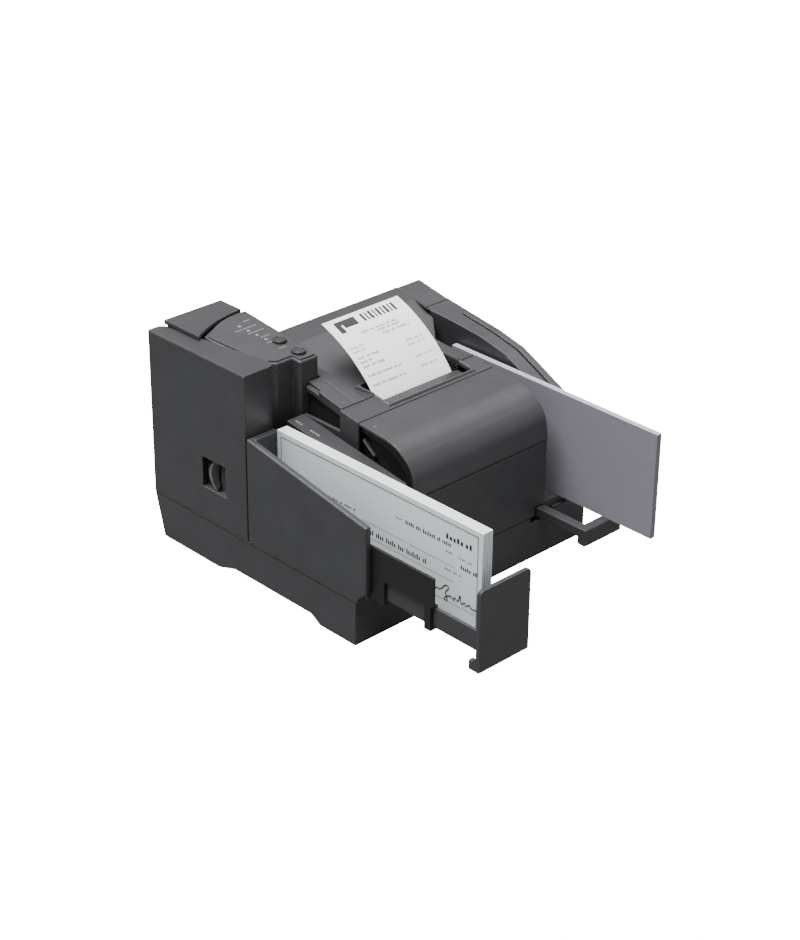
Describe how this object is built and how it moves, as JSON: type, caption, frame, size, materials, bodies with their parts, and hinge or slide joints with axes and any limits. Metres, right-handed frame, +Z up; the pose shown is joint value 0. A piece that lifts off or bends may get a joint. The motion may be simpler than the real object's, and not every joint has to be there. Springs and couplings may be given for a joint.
{
  "type": "cheque scanner",
  "caption": "Desktop cheque scanner with a feeder tray on the left, a receipt printer with a paper roll in the middle and an exit pocket on the right, in dark grey plastic",
  "frame": {"origin": "on the table, under the middle of the box that holds the whole machine", "axes": "+X to the machine's right, +Y to its rear, +Z up"},
  "size_m": [0.249, 0.36, 0.1833],
  "materials": {
    "case_plastic": "fine_grain",
    "panel_plastic": "fine_grain",
    "button_plastic": "satin",
    "light_plastic": "satin",
    "liner_grey": "satin",
    "inner_plastic": "fine_grain",
    "channel_plastic": "satin",
    "socket_black": "satin",
    "gear_plastic": "satin",
    "lamp_lens": "clear",
    "board_green": "satin",
    "foot_rubber": "matte",
    "roller_rubber": "matte",
    "belt_rubber": "matte",
    "sheet_steel": "satin",
    "screw_steel": "plated",
    "guide_steel": "brushed",
    "blade_steel": "brushed",
    "shaft_steel": "turned",
    "motor_steel": "satin",
    "head_metal": "brushed",
    "sensor_glass": "polished",
    "cheque_paper": "smooth",
    "sorted_paper": "smooth",
    "receipt_paper": "smooth",
    "core_card": "plain"
  },
  "bodies": {
    "chassis": {"base_shell": "case_plastic", "base_plate": "sheet_steel", "rubber_feet": "foot_rubber", "base_screws": "screw_steel", "main_board": "board_green", "rear_sockets": "socket_black", "tower_casing": "case_plastic", "control_panel": "panel_plastic", "indicator_lights": "lamp_lens", "feeder_housing": "case_plastic", "feeder_inner_wall": "case_plastic", "rear_image_sensor": "sensor_glass", "rear_housing": "case_plastic", "document_guide": "guide_steel", "right_wall": "case_plastic", "card_read_head": "head_metal", "exit_floor": "case_plastic", "printer_housing": "case_plastic", "printer_chassis": "inner_plastic", "frame_strip": "case_plastic", "tear_bar": "blade_steel", "thermal_head": "head_metal", "print_motor": "motor_steel", "paper_bucket": "inner_plastic", "hinge_pins": "shaft_steel", "feed_motor": "motor_steel", "drive_belt": "belt_rubber"},
    "scanner_cover_body": {"scanner_cover": "case_plastic", "cover_liner": "liner_grey", "front_image_sensor": "sensor_glass", "magnetic_ink_head": "head_metal"},
    "cover_lever_body": {"cover_lever": "light_plastic"},
    "cartridge_lid_body": {"cartridge_lid": "case_plastic"},
    "ink_cartridge_body": {"ink_cartridge": "socket_black"},
    "access_cover_body": {"access_cover": "case_plastic"},
    "front_cover_body": {"front_cover": "case_plastic"},
    "roll_cover_body": {"roll_cover": "case_plastic", "receipt_strip": "receipt_paper"},
    "platen_body": {"platen_shaft": "shaft_steel", "platen_rubber": "roller_rubber", "platen_gear": "gear_plastic"},
    "motor_pinion_body": {"motor_pinion": "gear_plastic"},
    "paper_roll_body": {"paper_roll": "receipt_paper", "roll_core": "core_card"},
    "front_button_body": {"front_button": "button_plastic"},
    "rear_button_body": {"rear_button": "button_plastic"},
    "tray_channel_body": {"tray_channel": "channel_plastic"},
    "tray_end_stop_body": {"tray_end_stop": "case_plastic"},
    "exit_arm_body": {"exit_arm": "case_plastic"},
    "waiting_cheques_body": {"waiting_cheques": "cheque_paper"},
    "finished_cheques_body": {"finished_cheques": "sorted_paper"},
    "stack_pusher_body": {"stack_pusher": "liner_grey"},
    "power_rocker_body": {"power_rocker": "button_plastic"},
    "motor_pulley_body": {"motor_pulley": "shaft_steel"},
    "pick_roller_body": {"pick_shaft": "shaft_steel", "pick_roller": "roller_rubber"},
    "inlet_roller_body": {"inlet_shaft": "shaft_steel", "inlet_roller": "roller_rubber"},
    "exit_roller_body": {"exit_shaft": "shaft_steel", "exit_roller": "roller_rubber"}
  },
  "joints": [
    {"name": "scanner_cover_hinge", "type": "hinge", "parent": "chassis", "child": "scanner_cover_body", "pos_m": [-0.117, 0.1735, 0.108], "axis": [0, 0, 1], "range_deg": [-60, 0]},
    {"name": "cover_lever_slide", "type": "slide", "parent": "scanner_cover_body", "child": "cover_lever_body", "axis": [0, 1, 0], "range_m": [0, 0.003], "stiffness_N_per_m": 200},
    {"name": "cartridge_lid_hinge", "type": "hinge", "parent": "chassis", "child": "cartridge_lid_body", "pos_m": [-0.0805, 0.1765, 0.1623], "axis": [1, 0, 0], "range_deg": [-100, 0]},
    {"name": "ink_cartridge_slide", "type": "slide", "parent": "chassis", "child": "ink_cartridge_body", "axis": [0, 0, 1], "range_m": [0, 0.01]},
    {"name": "access_cover_hinge", "type": "hinge", "parent": "chassis", "child": "access_cover_body", "pos_m": [0.1115, 0.1346, 0.152], "axis": [1, 0, 0], "range_deg": [-80, 0]},
    {"name": "front_cover_hinge", "type": "hinge", "parent": "chassis", "child": "front_cover_body", "pos_m": [0.0065, -0.0524, 0.1032], "axis": [1, 0, 0], "range_deg": [0, 75]},
    {"name": "roll_cover_hinge", "type": "hinge", "parent": "chassis", "child": "roll_cover_body", "pos_m": [0.0175, 0.133, 0.14], "axis": [1, 0, 0], "range_deg": [-75, 0]},
    {"name": "platen_spin", "type": "hinge", "parent": "roll_cover_body", "child": "platen_body", "pos_m": [0.0065, 0.033, 0.1305], "axis": [1, 0, 0], "continuous": true},
    {"name": "motor_pinion_spin", "type": "hinge", "parent": "chassis", "child": "motor_pinion_body", "pos_m": [0.058, 0.033, 0.1155], "axis": [1, 0, 0], "continuous": true},
    {"name": "paper_roll_spin", "type": "hinge", "parent": "chassis", "child": "paper_roll_body", "pos_m": [0.0125, 0.085, 0.095], "axis": [1, 0, 0], "continuous": true},
    {"name": "front_button_press", "type": "slide", "parent": "chassis", "child": "front_button_body", "axis": [0, 0, 1], "range_m": [-0.0012, 0], "stiffness_N_per_m": 300},
    {"name": "rear_button_press", "type": "slide", "parent": "chassis", "child": "rear_button_body", "axis": [0, 0, 1], "range_m": [-0.0012, 0], "stiffness_N_per_m": 300},
    {"name": "tray_channel_slide", "type": "slide", "parent": "chassis", "child": "tray_channel_body", "axis": [0, 1, 0], "range_m": [0, 0.058]},
    {"name": "tray_end_stop_slide", "type": "slide", "parent": "chassis", "child": "tray_end_stop_body", "axis": [0, 1, 0], "range_m": [0, 0.018]},
    {"name": "exit_arm_slide", "type": "slide", "parent": "chassis", "child": "exit_arm_body", "axis": [0, 1, 0], "range_m": [0, 0.04]},
    {"name": "waiting_cheques_lift", "type": "slide", "parent": "chassis", "child": "waiting_cheques_body", "axis": [0, 0, 1], "range_m": [0, 0.09]},
    {"name": "finished_cheques_lift", "type": "slide", "parent": "chassis", "child": "finished_cheques_body", "axis": [0, 0, 1], "range_m": [0, 0.09]},
    {"name": "stack_pusher_hinge", "type": "hinge", "parent": "chassis", "child": "stack_pusher_body", "pos_m": [-0.1019, 0.0517, 0.071], "axis": [0, 0, 1], "range_deg": [-15, 0], "stiffness_Nm_per_rad": 0.05, "springref_deg": 8.59},
    {"name": "power_rocker_hinge", "type": "hinge", "parent": "chassis", "child": "power_rocker_body", "pos_m": [0.0715, 0.1712, 0.022], "axis": [1, 0, 0], "range_deg": [0, 12]},
    {"name": "motor_pulley_spin", "type": "hinge", "parent": "chassis", "child": "motor_pulley_body", "pos_m": [0.0005, 0.006, 0.027], "axis": [0, 0, 1], "continuous": true},
    {"name": "pick_roller_spin", "type": "hinge", "parent": "chassis", "child": "pick_roller_body", "pos_m": [-0.0799, 0.05, 0.06], "axis": [0, 0, 1], "continuous": true},
    {"name": "inlet_roller_spin", "type": "hinge", "parent": "chassis", "child": "inlet_roller_body", "pos_m": [-0.0893, 0.111, 0.06], "axis": [0, 0, 1], "continuous": true},
    {"name": "exit_roller_spin", "type": "hinge", "parent": "chassis", "child": "exit_roller_body", "pos_m": [0.0885, 0.096, 0.06], "axis": [0, 0, 1], "continuous": true}
  ],
  "couplings": [
    {"joint": "motor_pinion_spin", "follows": "platen_spin", "ratio": -2},
    {"joint": "pick_roller_spin", "follows": "motor_pulley_spin", "ratio": 1},
    {"joint": "inlet_roller_spin", "follows": "motor_pulley_spin", "ratio": 1},
    {"joint": "exit_roller_spin", "follows": "motor_pulley_spin", "ratio": 1}
  ]
}
